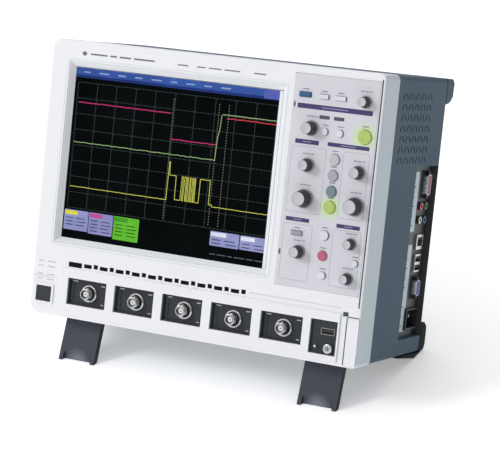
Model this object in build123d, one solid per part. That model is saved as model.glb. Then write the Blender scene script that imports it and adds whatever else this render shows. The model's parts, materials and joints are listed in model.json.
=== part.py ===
"""Bench logic analyzer with a touch display, five coaxial probe inputs, rotary controls and flip-out legs.

It is modelled upright in a device frame: X to the right, Y back from the front face, Z up from the underside.
LEAN then leans it back on its legs and rear feet, so that the floor is Z = 0 in the written parts.
"""
import math
import os

from build123d import *

# Case
WIDTH, HEIGHT, DEPTH = 340.0, 260.0, 152.0
BAND = 30.6          # depth of the white front moulding
FRONT_SKIN = 3.0     # its wall
COVER_INSET = 0.6    # the rear cover stands this far inside the front moulding's outline
COVER_SKIN = 2.5
CORNER_RADII = {(-1, -1): 10.0, (1, -1): 5.0, (-1, 1): 7.0, (1, 1): 5.0}  # (side, top or bottom)
FIT = 0.2            # gap round a part that drops into an opening

# Display
SCREEN_X, SCREEN_Z = (-144.5, 70.6), (75.0, 235.7)
BEVEL = 5.0          # sloped frame round the screen
GLASS_Y, GLASS_T = 4.7, 1.8
LCD_Y, LCD_T = 7.5, 6.5

# Control fascia
FASCIA_X, FASCIA_Z = (83.0, 165.0), (64.0, 253.0)
FASCIA_PROUD, FASCIA_T = 0.3, 2.0
BOARD_Y, BOARD_T = 11.5, 1.6
SHAFT_R, SHAFT_CLEARANCE = 3.0, 0.05
BUSH_R = 4.4
BUTTON_PROUD, BUTTON_BACK_Y, BUTTON_TRAVEL, BUTTON_GAP = 1.9, 5.0, 1.0, 0.35
SWITCH_SPARE = 0.3   # left between a pressed button and its switch
COLUMN_LEFT, COLUMN_MIDDLE, COLUMN_RIGHT = 103.5, 128.8, 152.8

# name: (x, z, base radius, height)
KNOBS = {
    "knob_intensity": (COLUMN_RIGHT, 234.0, 5.6, 10.0),
    "knob_level": (COLUMN_LEFT, 205.7, 6.9, 12.0),
    "knob_delay": (COLUMN_LEFT, 173.0, 6.4, 11.0),
    "knob_time": (COLUMN_LEFT, 143.2, 8.6, 13.0),
    "knob_offset": (COLUMN_RIGHT, 172.0, 6.4, 11.0),
    "knob_gain": (COLUMN_RIGHT, 142.3, 8.6, 13.0),
    "knob_cursor": (COLUMN_LEFT, 95.6, 6.4, 11.0),
    "knob_zoom_position": (COLUMN_RIGHT, 109.1, 5.4, 10.0),
    "knob_zoom_scale": (COLUMN_RIGHT, 78.3, 5.6, 10.0),
}
# name: (x, z, width, height); equal sides make a round button
BUTTONS = {
    "button_auto_setup": (94.4, 234.8, 11.4, 4.4),
    "button_default": (112.6, 234.4, 9.6, 4.0),
    "button_touch": (128.8, 234.4, 10.4, 4.0),
    "button_trigger_auto": (116.8, 204.0, 6.4, 6.4),
    "button_trigger_normal": (131.4, 204.0, 6.4, 6.4),
    "button_run": (155.0, 203.6, 12.8, 12.8),
    "button_channel_1": (COLUMN_MIDDLE, 180.6, 9.8, 9.8),
    "button_channel_2": (COLUMN_MIDDLE, 166.6, 9.8, 9.8),
    "button_channel_3": (COLUMN_MIDDLE, 152.6, 9.8, 9.8),
    "button_channel_4": (COLUMN_MIDDLE, 138.6, 11.0, 11.0),
    "button_cursor_type": (99.7, 112.0, 10.8, 4.0),
    "button_zoom": (126.8, 113.4, 8.4, 8.4),
    "button_print": (126.8, 95.2, 8.8, 8.8),
    "button_clear": (128.6, 77.8, 6.6, 6.6),
    "button_math": (158.4, 92.6, 6.0, 6.0),
}

# Inputs along the bottom of the front
INPUTS = 5
BAY_FIRST_X, BAY_PITCH, BAY_Z = -108.4, 50.65, 25.9
BAY_W, BAY_H, BAY_DEEP, BAY_RIM = 41.3, 24.6, 2.0, 1.2
BAY_Y, BAY_BACK_Y = 0.6, 4.7
JACK_OFFSET_X = 1.5  # socket centre, right of its plate's centre
JACK_R, JACK_BORE_R, JACK_BORE_DEEP, JACK_FRONT_Y = 4.85, 4.1, 8.0, -6.5
LUG_R, LUG_TIP_R, LUG_BACK = 1.0, 5.5, 4.9
PANEL_X, PANEL_Z, PANEL_PROUD = (-138.5, 151.0), (3.0, 47.4), 1.2
PORT_X, PORT_Z = (122.9, 148.7), (8.6, 38.9)
USB_X, USB_Z, USB_W, USB_H, USB_WALL, USB_DEEP = 139.4, 29.0, 13.2, 5.7, 0.4, 13.0
POWER_X, POWER_Z, POWER_W, POWER_H = -155.0, 19.6, 15.8, 14.0
POWER_BACK_Y, POWER_TRAVEL = 7.0, 1.8

# Indicator windows: pairs of a large and a small one, after a single large one
WINDOW_PAIRS, WINDOW_PITCH, WINDOW_FIRST_X, WINDOW_Z = 10, 17.2, -114.1, 51.4
WINDOW_LARGE, WINDOW_SMALL, WINDOW_DEEP = (8.4, 3.6), (4.4, 4.0), 1.3

# Legs and the floor that they and the rear feet stand on
TILT = 17.85         # degrees that the device leans back
TOE_Y, TOE_Z = 22.3, -44.6
LEG_X, LEG_W, LEG_T = 126.35, 39.3, 6.0
LEG_PIVOT_Y, LEG_PIVOT_Z, LEG_PIN_R = 36.5, 4.0, 1.5
POCKET_Y, POCKET_TOP = (31.9, 91.0), 8.8

# Recess for the connectors in the right side
RECESS_Y, RECESS_Z, RECESS_FLOOR_X = (95.0, 149.5), (17.0, 178.0), 163.0
IO_T = 1.5

# Rear fan
FAN_X, FAN_Z, FAN_SIZE, FAN_T, FAN_BACK_Y = -100.0, 150.0, 80.0, 25.0, 149.3
FAN_BLADES, FAN_HUB_R, FAN_TIP_R, FAN_PIN_R = 7, 17.0, 36.0, 2.0


# ---------------------------------------------------------------- helpers
def block(x, y, z):
    """A box from pairs of low and high values."""
    centre = [(low + high) / 2 for low, high in (x, y, z)]
    return Pos(*centre) * Box(x[1] - x[0], y[1] - y[0], z[1] - z[0])


def around(centre, size):
    """The low and high value of a span of this size about a centre."""
    return (centre - size / 2, centre + size / 2)


def disc_y(x, z, radius, front, back):
    """A cylinder along Y."""
    return Pos(x, (front + back) / 2, z) * Rot(90, 0, 0) * Cylinder(radius, back - front)


def disc_x(y, z, radius, left, right):
    """A cylinder along X."""
    return Pos((left + right) / 2, y, z) * Rot(0, 90, 0) * Cylinder(radius, right - left)


def cone_y(x, z, front_radius, back_radius, front, back):
    """A truncated cone along Y."""
    return Pos(x, (front + back) / 2, z) * Rot(90, 0, 0) * Cone(back_radius, front_radius, back - front)


def front_plane(y):
    """The plane at this depth that faces the viewer, with its own Y up."""
    return Plane(origin=(0, y, 0), x_dir=(1, 0, 0), z_dir=(0, -1, 0))


def plate_y(x, z, y, radius):
    """A plate in the XZ plane with round corners."""
    place = front_plane(y[1]) * Pos(sum(x) / 2, sum(z) / 2)
    return extrude(place * RectangleRounded(x[1] - x[0], z[1] - z[0], radius), y[1] - y[0])


def prism_x(points, x):
    """A profile in the YZ plane, drawn out along X."""
    face = make_face(Polyline(*[(0, y, z) for y, z in points], close=True))
    return Pos(x[0], 0, 0) * extrude(face, x[1] - x[0], dir=(1, 0, 0))


def outline(inset, y):
    """The case's outline, drawn in by an inset, as a solid between two depths."""
    solid = block(around(0, WIDTH - 2 * inset), y, (inset, HEIGHT - inset))
    for (side, level), radius in CORNER_RADII.items():
        edge = [e for e in solid.edges().filter_by(Axis.Y)
                if e.center().X * side > 0 and (e.center().Z - HEIGHT / 2) * level > 0]
        solid = fillet(edge, max(radius - inset, 0.5))
    return solid


def bay_centres():
    return [BAY_FIRST_X + BAY_PITCH * i for i in range(INPUTS)]


def jack_centres():
    return [x + JACK_OFFSET_X for x in bay_centres()]


def group(solids):
    """Separate solids that share one node."""
    return Compound(children=list(solids))


# ---------------------------------------------------------------- front
def window_spans():
    """X spans and heights of the indicator windows."""
    (large, tall), (small, taller) = WINDOW_LARGE, WINDOW_SMALL
    spans = [((WINDOW_FIRST_X - 16.6, WINDOW_FIRST_X - 2.2), WINDOW_Z - 0.4, tall + 1.2)]
    for i in range(WINDOW_PAIRS):
        left = WINDOW_FIRST_X + WINDOW_PITCH * i
        spans.append(((left, left + large), WINDOW_Z, tall))
        spans.append(((left + large + 2.2, left + large + 2.2 + small), WINDOW_Z + 0.6, taller))
    return spans


def front_bezel():
    shell = outline(0, (0, BAND))
    shell = fillet(shell.edges().filter_by(lambda e: e.center().Y < 0.01), 2.4)
    shell -= outline(FRONT_SKIN, (FRONT_SKIN, BAND + 1))
    frame = BEVEL + FIT
    cuts = [
        block((SCREEN_X[0] - frame, SCREEN_X[1] + frame), (-1, 5), (SCREEN_Z[0] - frame, SCREEN_Z[1] + frame)),
        block((FASCIA_X[0] - FIT, FASCIA_X[1] + FIT), (-1, FASCIA_T - FASCIA_PROUD),
              (FASCIA_Z[0] - FIT, FASCIA_Z[1] + FIT)),
        block((FASCIA_X[0] + 2, FASCIA_X[1] - 2), (-1, 5), (FASCIA_Z[0] + 2, FASCIA_Z[1] - 2)),
        block((166.0, 167.4), (-1, 1.8), (54.0, 255.0)),
        block((-168.0, -141.0), (-1, 0.6), (35.6, 36.4)),
        block((60.0, 150.0), (-1, 0.6), (51.9, 52.6)),
        block((157.6, 168.8), (-1, 1.0), (1.2, 44.9)),
        block(around(POWER_X, POWER_W + 2 * BUTTON_GAP), (-2, 5), around(POWER_Z, POWER_H + 2 * BUTTON_GAP)),
        block((PORT_X[0] - FIT, PORT_X[1] + FIT), (-1, 5), (PORT_Z[0] - FIT, PORT_Z[1] + FIT)),
    ]
    cuts += [block(around(x, BAY_W + 2 * FIT), (-1, 5), around(BAY_Z, BAY_H + 2 * FIT)) for x in bay_centres()]
    cuts += [block(x, (-1, WINDOW_DEEP), around(z, tall)) for x, z, tall in window_spans()]
    cuts.append(block((152.4, 157.6), (-1, 1.6), (45.2, 49.2)))
    return shell - cuts + power_surround()


def power_surround():
    """The raised frame round the power button."""
    ring = plate_y(around(POWER_X, POWER_W + 5.2), around(POWER_Z, POWER_H + 5.2), (-1.0, 0.3), 2.0)
    return ring - block(around(POWER_X, POWER_W + 2 * BUTTON_GAP), (-2, 2),
                        around(POWER_Z, POWER_H + 2 * BUTTON_GAP))


def input_panel():
    """The white lower moulding, a thin tray on the front face with an opening for each input."""
    panel = plate_y(PANEL_X, PANEL_Z, (-PANEL_PROUD, 0), 1.5)
    panel = fillet(panel.edges().filter_by(lambda e: e.center().Y < 0.01 - PANEL_PROUD), 0.8)
    cuts = [block(around(x, BAY_W + 2 * FIT), (-3, 1), around(BAY_Z, BAY_H + 2 * FIT)) for x in bay_centres()]
    cuts.append(block((PORT_X[0] - FIT, PORT_X[1] + FIT), (-3, 1), (PORT_Z[0] - FIT, PORT_Z[1] + FIT)))
    return panel - cuts


def corner_cover():
    """A small plate at the lower right corner, with the lip of its finger notch."""
    plate = plate_y((157.8, 168.6), (1.4, 44.7), (-0.4, 1.0), 1.0)
    lip = block((157.8, 168.6), (-0.9, -0.4), (42.6, 43.8))
    return plate + lip


def indicator_windows():
    return group(block(x, (0.15, WINDOW_DEEP), around(z, tall)) for x, z, tall in window_spans())


def screen_frame():
    """A frame whose inner faces slope back to the glass, with a flange behind the front wall."""
    def rect(grow, y):
        x = (SCREEN_X[0] - grow, SCREEN_X[1] + grow)
        z = (SCREEN_Z[0] - grow, SCREEN_Z[1] + grow)
        return front_plane(y) * Pos(sum(x) / 2, sum(z) / 2) * Rectangle(x[1] - x[0], z[1] - z[0])
    front = extrude(rect(BEVEL, FRONT_SKIN), FRONT_SKIN - 0.5)
    flange = extrude(rect(BEVEL + 3.0, GLASS_Y - 0.1), GLASS_Y - 0.1 - FRONT_SKIN)
    funnel = loft([rect(BEVEL - 0.5, 0.4).face(), rect(0, GLASS_Y).face()])
    return front + flange - funnel


def touch_glass():
    return block((SCREEN_X[0] - 3, SCREEN_X[1] + 3), (GLASS_Y, GLASS_Y + GLASS_T),
                 (SCREEN_Z[0] - 3, SCREEN_Z[1] + 3))


def lcd_panel():
    """The display module in its metal frame, with four ears on pillars and a driver strip at the back."""
    back = LCD_Y + LCD_T
    panel = block((SCREEN_X[0] - 5, SCREEN_X[1] + 5), (LCD_Y, back), (SCREEN_Z[0] - 5, SCREEN_Z[1] + 5))
    panel += block((-140, 66), (back, back + 2), (222, 238))
    for z in (84, 228):
        panel += block((-159, 82), (back - 1.6, back), around(z, 10))
        for x in (-156.0, 80.2):
            panel += disc_y(x, z, 1.3, FRONT_SKIN + 0.1, back - 1)
    return panel


# ---------------------------------------------------------------- controls
def control_panel():
    """The fascia: one plate with a hole for each knob's bush and each button."""
    plate = plate_y(FASCIA_X, FASCIA_Z, (-FASCIA_PROUD, FASCIA_T - FASCIA_PROUD), 1.6)
    cuts = [disc_y(x, z, BUSH_R + 0.1, -2, 3) for x, z, _, _ in KNOBS.values()]
    cuts += [button_body(x, z, w + 2 * BUTTON_GAP, h + 2 * BUTTON_GAP, -2, 3) for x, z, w, h in BUTTONS.values()]
    return plate - cuts


def button_body(x, z, width, height, front, back):
    if width == height:
        return disc_y(x, z, width / 2, front, back)
    return plate_y(around(x, width), around(z, height), (front, back), 0.9)


def button(x, z, width, height):
    """A cap with a soft front edge, and behind the fascia the flange that keeps it in."""
    cap = button_body(x, z, width, height, -BUTTON_PROUD, BUTTON_BACK_Y)
    cap = fillet(cap.edges().filter_by(lambda e: e.center().Y < 0.01 - BUTTON_PROUD), 0.6)
    flange = button_body(x, z, width + 1.6, height + 1.6, 2.0, 3.0)
    return cap + flange


def knob(x, z, radius, height):
    """A tapered grip with a dished front, on its shaft."""
    front = -FASCIA_PROUD - 0.5 - height
    skirt = disc_y(x, z, radius, -FASCIA_PROUD - 2.1, -FASCIA_PROUD - 0.5)
    grip = cone_y(x, z, radius * 0.80, radius * 0.93, front, -FASCIA_PROUD - 2.1)
    grip = fillet(grip.edges().filter_by(lambda e: e.center().Y < front + 0.01), 0.7)
    dish = Pos(x, front - 3.4 * radius, z) * Sphere(3.47 * radius)
    socket = disc_y(x, z, BUSH_R + 0.35, -FASCIA_PROUD - 1.6, 0)
    shaft = disc_y(x, z, SHAFT_R, -FASCIA_PROUD - 3.0, 9.5)
    return skirt + grip - dish - socket + shaft


def encoder_bodies():
    """One rotary encoder per knob, each a body with a bush that the shaft runs in."""
    bodies = []
    for x, z, _, _ in KNOBS.values():
        body = block(around(x, 12.0), (4.6, BOARD_Y), around(z, 12.4))
        bush = disc_y(x, z, BUSH_R, -FASCIA_PROUD, 4.6)
        bodies.append(body + bush - disc_y(x, z, SHAFT_R + SHAFT_CLEARANCE, -1, 10.0))
    return group(bodies)


def control_board():
    """The board behind the fascia, with a push switch for each button."""
    board = block((84.5, 164.0), (BOARD_Y, BOARD_Y + BOARD_T), (64.5, 252.0))
    switch_y = BUTTON_BACK_Y + BUTTON_TRAVEL + SWITCH_SPARE
    for x, z, _, _ in BUTTONS.values():
        board += block(around(x, 6.0), (switch_y, BOARD_Y), around(z, 4.0))
    return board


def power_button():
    cap = plate_y(around(POWER_X, POWER_W), around(POWER_Z, POWER_H), (-1.2, POWER_BACK_Y), 0.8)
    cap = fillet(cap.edges().filter_by(lambda e: e.center().Y < -1.19), 0.5)
    flange = block(around(POWER_X, POWER_W + 3), (3.4, 4.6), around(POWER_Z, POWER_H + 3))
    return cap + flange


# ---------------------------------------------------------------- inputs
def input_bays():
    """A dark plate per input, sunk a little inside its rim, with a hole for the socket."""
    bays = []
    for x, jack in zip(bay_centres(), jack_centres()):
        plate = plate_y(around(x, BAY_W), around(BAY_Z, BAY_H), (BAY_Y, BAY_BACK_Y), 1.2)
        well = plate_y(around(x, BAY_W - 2 * BAY_RIM), around(BAY_Z, BAY_H - 2 * BAY_RIM),
                       (BAY_Y - 1, BAY_Y + BAY_DEEP), 0.8)
        pads = [block(around(x - 16.4, 3.0), (BAY_Y + 1.2, BAY_Y + BAY_DEEP + 0.5), around(BAY_Z + dz, 1.6))
                for dz in (-7.5, -4.5, -1.5, 1.5, 4.5, 7.5)]
        plate = plate - well - disc_y(jack, BAY_Z, JACK_R + 0.1, 0, 6)
        for pad in pads:
            plate += pad
        bays.append(plate)
    return group(bays)


def bnc_jacks():
    """A bayonet socket per input and the sense ring that it stands in."""
    floor, solids = BAY_Y + BAY_DEEP, []
    for x in jack_centres():
        body = disc_y(x, BAY_Z, JACK_R, JACK_FRONT_Y, 16.0)
        body = fillet(body.edges().filter_by(lambda e: e.center().Y < JACK_FRONT_Y + 0.01), 0.3)
        body -= disc_y(x, BAY_Z, JACK_BORE_R, JACK_FRONT_Y - 1, JACK_FRONT_Y + JACK_BORE_DEEP)
        lugs = Pos(x, JACK_FRONT_Y + LUG_BACK, BAY_Z) * Cylinder(LUG_R, 2 * LUG_TIP_R)
        lugs -= disc_y(x, BAY_Z, JACK_R - 0.3, JACK_FRONT_Y, floor)
        nut = extrude(front_plane(BAY_BACK_Y + 2.6) * Pos(x, BAY_Z) * RegularPolygon(7.6, 6), 2.5)
        body = body + lugs + (nut - disc_y(x, BAY_Z, JACK_R - 0.2, 0, 12))
        ring = disc_y(x, BAY_Z, 8.2, floor - 1.6, floor) - disc_y(x, BAY_Z, 6.6, 0, 6)
        ring = chamfer(ring.edges().filter_by(lambda e: e.center().Y < floor - 1.59), 0.3)
        solids += [body, ring]
    return group(solids)


def bnc_contacts():
    """The insulator and centre contact inside each socket."""
    floor = JACK_FRONT_Y + JACK_BORE_DEEP
    return group(disc_y(x, BAY_Z, 2.35, JACK_FRONT_Y + 1.8, floor) - disc_y(x, BAY_Z, 0.7, -9, floor - 1)
                 for x in jack_centres())


def port_panel():
    plate = plate_y(PORT_X, PORT_Z, (BAY_Y, BAY_BACK_Y), 1.2)
    well = plate_y((PORT_X[0] + BAY_RIM, PORT_X[1] - BAY_RIM), (PORT_Z[0] + BAY_RIM, PORT_Z[1] - BAY_RIM),
                   (BAY_Y - 1, BAY_Y + 0.8), 0.8)
    hole = block(around(USB_X, USB_W + 0.1), (-1, 6), around(USB_Z, USB_H + 0.1))
    return plate - well - hole - disc_y(141.4, 14.2, 3.05, 0, 6) - disc_y(129.4, 15.0, 1.25, 0, 6)


def front_usb_port():
    """The port's shell, with its mouth to the front."""
    shell = block(around(USB_X, USB_W), (BAY_Y + 0.2, BAY_Y + USB_DEEP + 1.0), around(USB_Z, USB_H))
    mouth = block(around(USB_X, USB_W - 2 * USB_WALL), (0, BAY_Y + USB_DEEP), around(USB_Z, USB_H - 2 * USB_WALL))
    return shell - mouth


def calibrator_terminal():
    """The calibration output, a collar with a contact hole, and the ground post."""
    collar = disc_y(141.4, 14.2, 4.3, -1.6, 1.3) + disc_y(141.4, 14.2, 3.0, 1.2, 9.0)
    collar = fillet(collar.edges().filter_by(lambda e: e.center().Y < -1.59), 0.5)
    collar -= disc_y(141.4, 14.2, 1.9, -3, 5)
    post = disc_y(129.4, 15.0, 1.2, -2.4, 8.0)
    return group([collar, fillet(post.edges().filter_by(lambda e: e.center().Y < -2.39), 0.5)])


# ---------------------------------------------------------------- rear cover
def vent_slots(side):
    """Seven rows of short slots, leaning to and fro along each row."""
    rows, columns, row_pitch, pitch = 7, 10, 9.6, 7.3
    slots = []
    for row in range(rows):
        for column in range(columns):
            lean = 32 if column % 2 else -32
            place = Pos(side * WIDTH / 2, 46.5 + pitch * column, 184.0 + row_pitch * row)
            slots.append(place * Rot(lean, 0, 0) * Box(12, 1.7, 6.6))
    return slots


def fan_grille():
    """Holes in rings in front of the fan."""
    holes = []
    for ring, count in ((9.0, 8), (16.0, 14), (23.0, 20), (30.0, 26), (36.5, 32)):
        for i in range(count):
            angle = 2 * math.pi * i / count
            holes.append(disc_y(FAN_X + ring * math.cos(angle), FAN_Z + ring * math.sin(angle), 2.4, 145, 156))
    return holes


def leg_pocket(side, grow, y, top):
    return block(around(side * LEG_X, LEG_W + 1.2 + 2 * grow), y, (-2 if grow == 0 else COVER_INSET, top))


def rear_cover():
    """The slate shell: side vents, pockets for the folded legs, the connector recess and the fan grille."""
    shell = outline(COVER_INSET, (BAND, DEPTH))
    shell = fillet(shell.edges().filter_by(lambda e: e.center().Y > DEPTH - 0.01), 3.0)
    shell -= outline(COVER_INSET + COVER_SKIN, (BAND - 1, DEPTH - COVER_SKIN))
    lip = outline(FRONT_SKIN + FIT, (BAND - 4, BAND + 1)) - outline(FRONT_SKIN + FIT + 1.8, (BAND - 5, BAND + 2))
    shell += lip
    for side in (-1, 1):
        shell += leg_pocket(side, COVER_SKIN, (BAND, POCKET_Y[1] + COVER_SKIN), POCKET_TOP + 1.6)
    wall = block((RECESS_FLOOR_X - IO_T, WIDTH / 2 - COVER_INSET - 0.5), (RECESS_Y[0] - 2, RECESS_Y[1] + 1),
                 (RECESS_Z[0] - 2, RECESS_Z[1] + 2))
    shell += wall
    cuts = [leg_pocket(side, 0, POCKET_Y, POCKET_TOP) for side in (-1, 1)]
    cuts += [disc_x(LEG_PIVOT_Y, LEG_PIVOT_Z, LEG_PIN_R + 0.02, *around(side * LEG_X, LEG_W + 5.2))
             for side in (-1, 1)]
    cuts.append(block((RECESS_FLOOR_X - 5, WIDTH), RECESS_Y, RECESS_Z))
    cuts += vent_slots(-1) + vent_slots(1) + fan_grille()
    cuts += [disc_y(x, z, 1.6, 148, 154) for x, z in SCREWS]
    return shell - cuts


SCREWS = [(side * 90.0, z) for side in (-1, 1) for z in (8.0, 251.0)]


def cover_screws():
    """Pan-head screws that hold the cover from behind."""
    screws = []
    for x, z in SCREWS:
        head = disc_y(x, z, 3.0, DEPTH + 0.02, DEPTH + 2.0)
        head = fillet(head.edges().filter_by(lambda e: e.center().Y > DEPTH + 1.99), 0.8)
        recess = block(around(x, 3.2), (DEPTH + 1.1, DEPTH + 3), around(z, 0.7))
        recess += block(around(x, 0.7), (DEPTH + 1.1, DEPTH + 3), around(z, 3.2))
        screws.append(head - recess + disc_y(x, z, 1.5, 141, DEPTH + 0.1))
    return group(screws)


def ground(y):
    """Height of the floor line in the device frame."""
    return TOE_Z + (y - TOE_Y) * math.tan(math.radians(TILT))


def rear_bumpers():
    """The two top corner bumpers on the back."""
    profile = [(152.02, 234.5), (163, 236), (169.5, 242), (170.5, 255), (168, 259.2), (152.02, 259.2)]
    return group(bumper(profile, side) for side in (-1, 1))


def rear_feet():
    """The two bottom corner feet, which wrap under the case and stand on the floor."""
    profile = [(99, 0.55), (99, -0.4), (146, ground(146)), (164, ground(164)), (167.5, 6), (167.5, 24),
               (164, 28), (152.02, 28), (152.02, 0.55)]
    return group(bumper(profile, side) for side in (-1, 1))


def bumper(profile, side):
    piece = prism_x(profile, (127.0, 169.2))
    ends = [e for e in piece.edges() if e.center().X > 169 and e.center().Y > 153]
    piece = chamfer(ends, 2.0)
    return piece if side > 0 else mirror(piece, Plane.YZ)


# ---------------------------------------------------------------- legs
def leg(side):
    """A flat leg with side rails and a finger hollow at its toe, on a hinge knuckle."""
    rise, run = LEG_PIVOT_Z - TOE_Z, LEG_PIVOT_Y - TOE_Y
    reach = math.sqrt(rise ** 2 + run ** 2 - (LEG_T / 2) ** 2)
    lean = math.degrees(math.atan2(run, rise) - math.atan2(LEG_T / 2, reach))
    half = LEG_W / 2
    plate = block((-half, half), (-LEG_T / 2, LEG_T / 2), (-reach, 0)) + disc_x(0, 0, LEG_T / 2, -half, half)
    hollow = block((-half + 4, half - 4), (LEG_T / 2 - 3.4, LEG_T), (-reach + 9, -7))
    scoop = Pos(0, -LEG_T / 2 - 14, -reach) * Rot(0, 90, 0) * Cylinder(17, LEG_W - 9)
    toe_gap = block((-half + 5, half - 5), (-LEG_T, LEG_T), (-reach - 1, -reach + 2.2))
    body = plate - hollow - scoop - toe_gap
    corners = [e for e in body.edges().filter_by(Axis.Z) if abs(abs(e.center().X) - half) < 0.01]
    body = fillet(corners, 0.7)
    body -= disc_x(0, 0, LEG_PIN_R + SHAFT_CLEARANCE, -half - 1, half + 1)
    placed = Pos(side * LEG_X, LEG_PIVOT_Y, LEG_PIVOT_Z) * Rot(-lean, 0, 0) * body
    far = 60
    floor = prism_x([(y, ground(y)) for y in (-far, far)] + [(far, ground(far) - far), (-far, ground(-far) - far)],
                    (-WIDTH, WIDTH))
    return placed - floor


def leg_pins():
    return group(disc_x(LEG_PIVOT_Y, LEG_PIVOT_Z, LEG_PIN_R, *around(side * LEG_X, LEG_W + 5.0))
                 for side in (-1, 1))


# ---------------------------------------------------------------- connectors in the side recess
IO_Y = 134.0
D_SHELLS = {"parallel": (160.0, 27.0), "display": (63.0, 22.0)}   # (z, length)
AUDIO_Y, AUDIO_Z = (127.0, 138.0), (127.0, 140.0)
USB_STACK_Z, LAN_Z = (82.0, 90.0), 106.0
INLET_Z = 33.5


def io_cutouts():
    """Openings in the plate, one per connector, along Y and Z."""
    holes = [(around(IO_Y, 13.2), around(z, length + 0.4)) for z, length in D_SHELLS.values()]
    holes += [(around(y, 8.4), around(z, 8.4)) for y in AUDIO_Y for z in AUDIO_Z]
    holes += [(around(IO_Y, 14.2), (77.5, 95.0)), (around(IO_Y, 16.4), around(LAN_Z, 14.2))]
    holes.append((around(IO_Y - 1, 27.4), around(INLET_Z, 20.4)))
    return holes


def io_panel():
    """The bright plate that closes the recess."""
    plate = block((RECESS_FLOOR_X - IO_T, RECESS_FLOOR_X), (RECESS_Y[0] + 0.1, RECESS_Y[1] - 0.1),
                  (RECESS_Z[0] + 0.1, RECESS_Z[1] - 0.1))
    return plate - [block((150, 170), y, z) for y, z in io_cutouts()]


def io_connectors():
    """Solid connectors: two D-shaped ones and four round audio jacks."""
    solids = []
    for z, length in D_SHELLS.values():
        flange = block((RECESS_FLOOR_X - 12, RECESS_FLOOR_X + 0.6), around(IO_Y, 12.8), around(z, length))
        shell = block((RECESS_FLOOR_X, RECESS_FLOOR_X + 5.0), around(IO_Y, 8.0), around(z, length - 9))
        posts = [disc_x(IO_Y, z + end * (length / 2 - 2.6), 1.9, RECESS_FLOOR_X, RECESS_FLOOR_X + 4.5)
                 for end in (-1, 1)]
        solids.append(flange + fillet(shell.edges().filter_by(Axis.X), 1.6) + posts[0] + posts[1])
    for y in AUDIO_Y:
        for z in AUDIO_Z:
            body = block((RECESS_FLOOR_X - 13, RECESS_FLOOR_X + 0.2), around(y, 8.0), around(z, 8.0))
            body += disc_x(y, z, 3.6, RECESS_FLOOR_X, RECESS_FLOOR_X + 2.6)
            solids.append(body - disc_x(y, z, 1.8, RECESS_FLOOR_X - 10, RECESS_FLOOR_X + 4))
    return group(solids)


def io_sockets():
    """Metal-shelled sockets: two stacked USB ports and a network port."""
    usb = block((RECESS_FLOOR_X - 14, RECESS_FLOOR_X + 2.0), around(IO_Y, 13.8), (77.9, 94.6))
    usb -= [block((RECESS_FLOOR_X - 12, RECESS_FLOOR_X + 3), around(IO_Y, 12.6), around(z, 5.2))
            for z in USB_STACK_Z]
    lan = block((RECESS_FLOOR_X - 14, RECESS_FLOOR_X + 2.0), around(IO_Y, 16.0), around(LAN_Z, 13.8))
    lan -= block((RECESS_FLOOR_X - 11, RECESS_FLOOR_X + 3), around(IO_Y, 11.8), around(LAN_Z + 0.4, 8.4))
    return group([usb, lan])


def mains_inlet():
    """The mains inlet, an open box with three blades in it."""
    y = IO_Y - 1
    body = block((RECESS_FLOOR_X - 20, RECESS_FLOOR_X + 2.5), around(y, 27.0), around(INLET_Z, 20.0))
    body -= block((RECESS_FLOOR_X - 16, RECESS_FLOOR_X + 4), around(y, 24.2), around(INLET_Z, 16.6))
    for dy, dz in ((-7, 1.8), (0, -2.2), (7, 1.8)):
        body += block((RECESS_FLOOR_X - 17, RECESS_FLOOR_X - 3), around(y + dy, 2.0), around(INLET_Z + dz, 4.0))
    return body


# ---------------------------------------------------------------- inside
def chassis_tray():
    """A folded steel floor with a front and a rear flange."""
    floor = block((-158, 150), (34, 146.5), (12.0, 13.2))
    front = block((-158, 150), (34, 35.2), (13.2, 15.8))
    rear = block((-158, 150), (145.3, 146.5), (13.2, 15.8))
    return floor + front + rear


def acquisition_board():
    """The input board with a screening can per channel, and the power switch on its own bracket."""
    board = block((-150, 140), (36.5, 118), (17.6, 19.2))
    for x in bay_centres():
        board += block(around(x, 36), (38, 74), (19.2, 27))
        board += block(around(x, 30), (84, 108), (19.2, 22.4))
    switch_y = POWER_BACK_Y + POWER_TRAVEL + SWITCH_SPARE
    switch = block(around(POWER_X, 8), (switch_y, 16), around(POWER_Z, 8))
    switch += block(around(POWER_X, 16), (16, 17.2), around(POWER_Z, 24))
    return group([board, switch])


def main_board():
    """The computer board, upright in front of the back wall, with memory and chips and a notch for the inlet."""
    board = block((-18, 148.5), (144, 145.6), (16.4, 186)) - block((142.2, 150), (143, 147), (16, 46))
    board += block((20, 24), (116, 144), (30, 160)) + block((30, 34), (116, 144), (30, 160))
    return board + block((110, 134), (141, 144), (40, 64)) + block((112, 140), (138, 144), (150, 178))


def heat_sink():
    """A finned cooler on the processor."""
    base = block((48, 104), (137, 143.9), (84, 140))
    for i in range(10):
        base += block((48 + i * 6.1, 49.1 + i * 6.1), (112, 137.5), (84, 140))
    return base


def power_supply():
    """A closed steel box with its own vent slots."""
    box = block((-150, -24), (86, 141), (30, 88))
    return box - [block(around(x, 2), (84, 88), (38, 80)) for x in range(-140, -30, 8)]


def disk_drive():
    body = block((-150, -80), (30.5, 131), (222, 244.5)) - block((-140, -90), (40, 120), (243.5, 246))
    return body


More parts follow.
